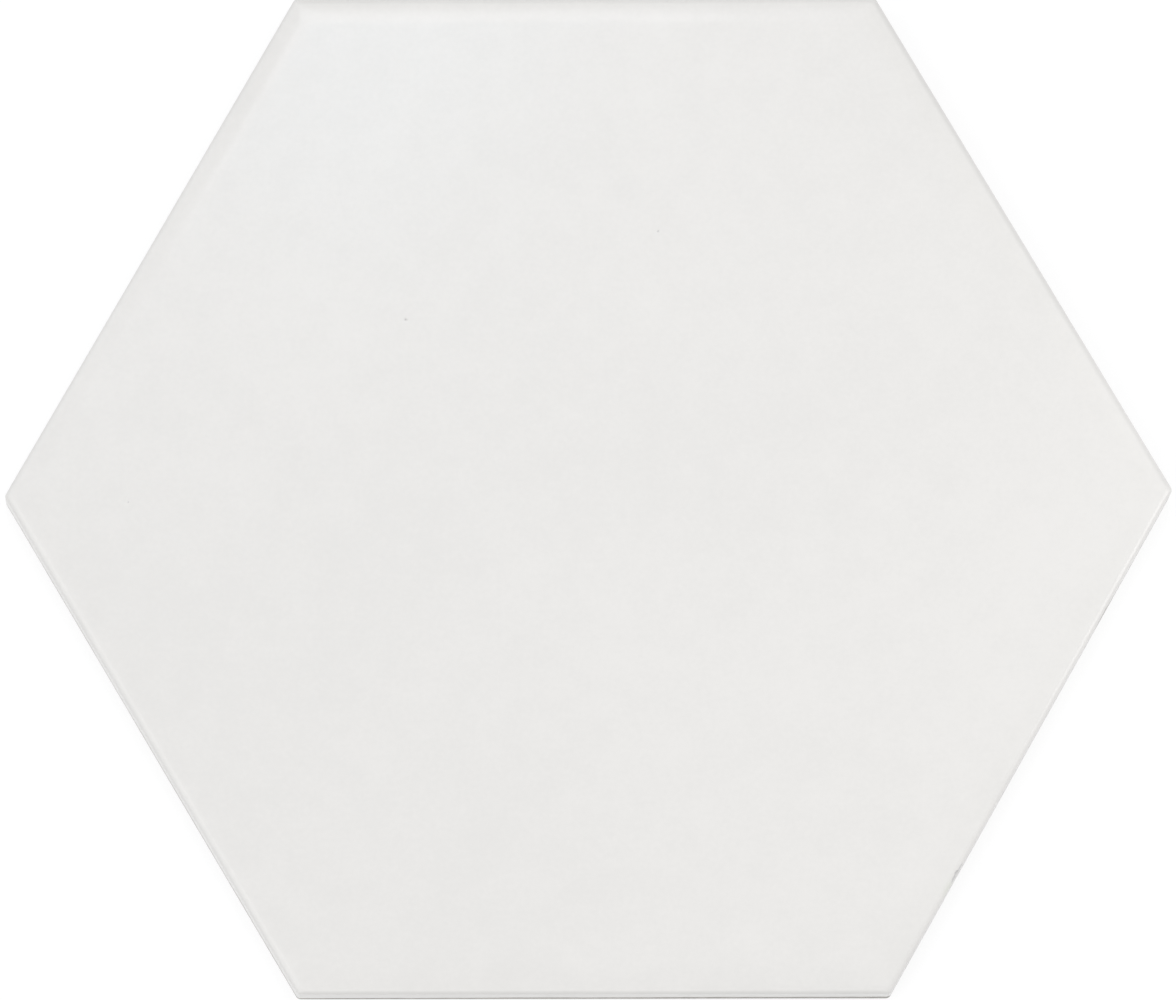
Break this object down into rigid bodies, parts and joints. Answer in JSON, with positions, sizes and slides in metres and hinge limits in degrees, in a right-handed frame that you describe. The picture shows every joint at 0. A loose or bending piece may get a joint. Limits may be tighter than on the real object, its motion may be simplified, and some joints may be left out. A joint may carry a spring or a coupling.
{
  "type": "hexagon floor tile",
  "caption": "Flat hexagonal floor tile with a glazed white face, softly eased edges and a keyed back for the adhesive.",
  "frame": {"origin": "middle of the back, on the surface that the tile lies on", "axes": "+Z out of the glazed face; +X through a corner, so that the sides side_front and side_rear lie along X; +Y towards side_rear"},
  "size_m": [0.2018, 0.175, 0.009],
  "materials": {
    "glazed_ceramic": "satin"
  },
  "bodies": {
    "root": {"hexagon_tile": "glazed_ceramic"}
  },
  "joints": []
}
